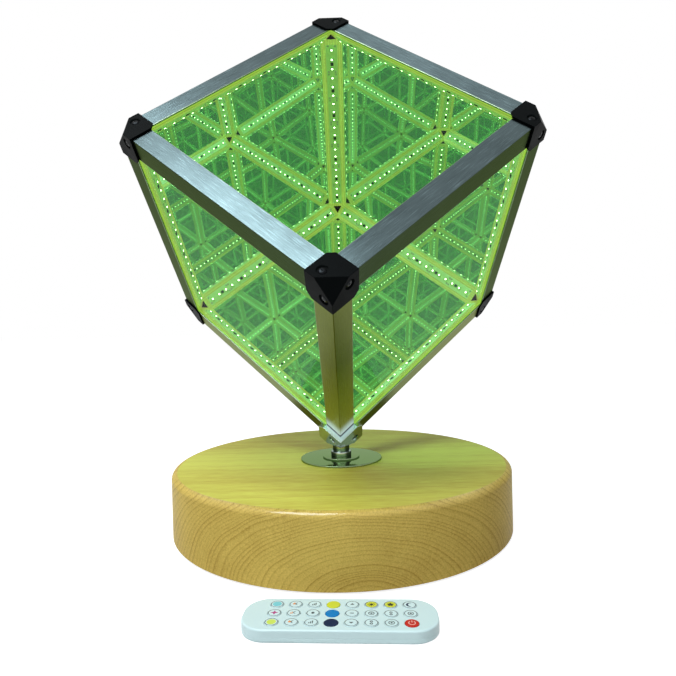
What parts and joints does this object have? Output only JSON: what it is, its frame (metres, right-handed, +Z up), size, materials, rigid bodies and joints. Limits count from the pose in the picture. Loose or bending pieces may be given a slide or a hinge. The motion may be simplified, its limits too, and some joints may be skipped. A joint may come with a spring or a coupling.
{
  "type": "led cube lamp",
  "caption": "Lamp with a lit mirror cube that stands on one corner over a round wooden base and turns on its stem, with a hand-held remote control.",
  "frame": {"origin": "centre of the base's underside, on the swivel axis", "axes": "+Z up along the stem, -Y towards the front, where the remote lies, +X to the right seen from the front"},
  "size_m": [0.3012, 0.3588, 0.4177],
  "materials": {
    "beech_wood": "satin clear coat over light wood",
    "soft_pad": "matte foam rubber",
    "plated_steel": "bright zinc",
    "circuit_board": "green solder resist",
    "black_plastic": "moulded",
    "polished_metal": "mirror polish",
    "lead_sheath": "smooth",
    "cap_plastic": "black, slightly glossy",
    "two_way_mirror": "half-silvered",
    "brushed_aluminium": "brushed along the bar",
    "light_tape": "white flexible circuit",
    "green_light": "lit",
    "remote_plastic": "white moulded",
    "key_plastic": "white, printed"
  },
  "bodies": {
    "base": {"wooden_base": "beech_wood", "base_pad": "soft_pad", "base_fasteners": "plated_steel", "controller": "circuit_board", "power_inlet": "black_plastic", "flange": "polished_metal", "stem_pipe": "plated_steel", "collar": "polished_metal", "inner_leads": "lead_sheath"},
    "cube": {"stem_sleeve": "polished_metal", "foot_corner": "polished_metal", "cap_top": "cap_plastic", "cap_upper_left": "cap_plastic", "cap_upper_right": "cap_plastic", "cap_upper_back": "cap_plastic", "cap_lower_front": "cap_plastic", "cap_lower_right": "cap_plastic", "cap_lower_left": "cap_plastic", "light_tapes": "light_tape", "lights": "green_light", "upper_bars": "brushed_aluminium", "middle_bars": "brushed_aluminium", "lower_bars": "brushed_aluminium", "mirror_upper_front": "two_way_mirror", "mirror_upper_right": "two_way_mirror", "mirror_upper_left": "two_way_mirror", "mirror_lower_back": "two_way_mirror", "mirror_lower_left": "two_way_mirror", "mirror_lower_right": "two_way_mirror"},
    "remote": {"remote_top": "remote_plastic", "remote_back": "remote_plastic", "remote_board": "circuit_board", "button_cell": "plated_steel"},
    "battery_door": {"battery_door": "remote_plastic"},
    "key_far_1": {"key_far_1": "key_plastic"},
    "key_far_2": {"key_far_2": "key_plastic"},
    "key_far_3": {"key_far_3": "key_plastic"},
    "key_far_4": {"key_far_4": "key_plastic"},
    "key_far_5": {"key_far_5": "key_plastic"},
    "key_far_6": {"key_far_6": "key_plastic"},
    "key_far_7": {"key_far_7": "key_plastic"},
    "key_far_8": {"key_far_8": "key_plastic"},
    "key_middle_1": {"key_middle_1": "key_plastic"},
    "key_middle_2": {"key_middle_2": "key_plastic"},
    "key_middle_3": {"key_middle_3": "key_plastic"},
    "key_middle_4": {"key_middle_4": "key_plastic"},
    "key_middle_5": {"key_middle_5": "key_plastic"},
    "key_middle_6": {"key_middle_6": "key_plastic"},
    "key_middle_7": {"key_middle_7": "key_plastic"},
    "key_middle_8": {"key_middle_8": "key_plastic"},
    "key_near_1": {"key_near_1": "key_plastic"},
    "key_near_2": {"key_near_2": "key_plastic"},
    "key_near_3": {"key_near_3": "key_plastic"},
    "key_near_4": {"key_near_4": "key_plastic"},
    "key_near_5": {"key_near_5": "key_plastic"},
    "key_near_6": {"key_near_6": "key_plastic"},
    "key_near_7": {"key_near_7": "key_plastic"},
    "key_near_8": {"key_near_8": "key_plastic"}
  },
  "joints": [
    {"name": "cube_swivel", "type": "hinge", "parent": "base", "child": "cube", "pos_m": [0, 0, 0.0569], "axis": [0, 0, 1], "range_deg": [-170, 170]},
    {"name": "remote_lift", "type": "slide", "parent": "base", "child": "remote", "axis": [0, 0, 1], "range_m": [0, 0.1]},
    {"name": "battery_door_slide", "type": "slide", "parent": "remote", "child": "battery_door", "axis": [-0.999, 0.0436, 0], "range_m": [0, 0.029]},
    {"name": "key_far_1_press", "type": "slide", "parent": "remote", "child": "key_far_1", "axis": [0, 0, -1], "range_m": [0, 0.0004], "stiffness_N_per_m": 400},
    {"name": "key_far_2_press", "type": "slide", "parent": "remote", "child": "key_far_2", "axis": [0, 0, -1], "range_m": [0, 0.0004], "stiffness_N_per_m": 400},
    {"name": "key_far_3_press", "type": "slide", "parent": "remote", "child": "key_far_3", "axis": [0, 0, -1], "range_m": [0, 0.0004], "stiffness_N_per_m": 400},
    {"name": "key_far_4_press", "type": "slide", "parent": "remote", "child": "key_far_4", "axis": [0, 0, -1], "range_m": [0, 0.0004], "stiffness_N_per_m": 400},
    {"name": "key_far_5_press", "type": "slide", "parent": "remote", "child": "key_far_5", "axis": [0, 0, -1], "range_m": [0, 0.0004], "stiffness_N_per_m": 400},
    {"name": "key_far_6_press", "type": "slide", "parent": "remote", "child": "key_far_6", "axis": [0, 0, -1], "range_m": [0, 0.0004], "stiffness_N_per_m": 400},
    {"name": "key_far_7_press", "type": "slide", "parent": "remote", "child": "key_far_7", "axis": [0, 0, -1], "range_m": [0, 0.0004], "stiffness_N_per_m": 400},
    {"name": "key_far_8_press", "type": "slide", "parent": "remote", "child": "key_far_8", "axis": [0, 0, -1], "range_m": [0, 0.0004], "stiffness_N_per_m": 400},
    {"name": "key_middle_1_press", "type": "slide", "parent": "remote", "child": "key_middle_1", "axis": [0, 0, -1], "range_m": [0, 0.0004], "stiffness_N_per_m": 400},
    {"name": "key_middle_2_press", "type": "slide", "parent": "remote", "child": "key_middle_2", "axis": [0, 0, -1], "range_m": [0, 0.0004], "stiffness_N_per_m": 400},
    {"name": "key_middle_3_press", "type": "slide", "parent": "remote", "child": "key_middle_3", "axis": [0, 0, -1], "range_m": [0, 0.0004], "stiffness_N_per_m": 400},
    {"name": "key_middle_4_press", "type": "slide", "parent": "remote", "child": "key_middle_4", "axis": [0, 0, -1], "range_m": [0, 0.0004], "stiffness_N_per_m": 400},
    {"name": "key_middle_5_press", "type": "slide", "parent": "remote", "child": "key_middle_5", "axis": [0, 0, -1], "range_m": [0, 0.0004], "stiffness_N_per_m": 400},
    {"name": "key_middle_6_press", "type": "slide", "parent": "remote", "child": "key_middle_6", "axis": [0, 0, -1], "range_m": [0, 0.0004], "stiffness_N_per_m": 400},
    {"name": "key_middle_7_press", "type": "slide", "parent": "remote", "child": "key_middle_7", "axis": [0, 0, -1], "range_m": [0, 0.0004], "stiffness_N_per_m": 400},
    {"name": "key_middle_8_press", "type": "slide", "parent": "remote", "child": "key_middle_8", "axis": [0, 0, -1], "range_m": [0, 0.0004], "stiffness_N_per_m": 400},
    {"name": "key_near_1_press", "type": "slide", "parent": "remote", "child": "key_near_1", "axis": [0, 0, -1], "range_m": [0, 0.0004], "stiffness_N_per_m": 400},
    {"name": "key_near_2_press", "type": "slide", "parent": "remote", "child": "key_near_2", "axis": [0, 0, -1], "range_m": [0, 0.0004], "stiffness_N_per_m": 400},
    {"name": "key_near_3_press", "type": "slide", "parent": "remote", "child": "key_near_3", "axis": [0, 0, -1], "range_m": [0, 0.0004], "stiffness_N_per_m": 400},
    {"name": "key_near_4_press", "type": "slide", "parent": "remote", "child": "key_near_4", "axis": [0, 0, -1], "range_m": [0, 0.0004], "stiffness_N_per_m": 400},
    {"name": "key_near_5_press", "type": "slide", "parent": "remote", "child": "key_near_5", "axis": [0, 0, -1], "range_m": [0, 0.0004], "stiffness_N_per_m": 400},
    {"name": "key_near_6_press", "type": "slide", "parent": "remote", "child": "key_near_6", "axis": [0, 0, -1], "range_m": [0, 0.0004], "stiffness_N_per_m": 400},
    {"name": "key_near_7_press", "type": "slide", "parent": "remote", "child": "key_near_7", "axis": [0, 0, -1], "range_m": [0, 0.0004], "stiffness_N_per_m": 400},
    {"name": "key_near_8_press", "type": "slide", "parent": "remote", "child": "key_near_8", "axis": [0, 0, -1], "range_m": [0, 0.0004], "stiffness_N_per_m": 400}
  ]
}
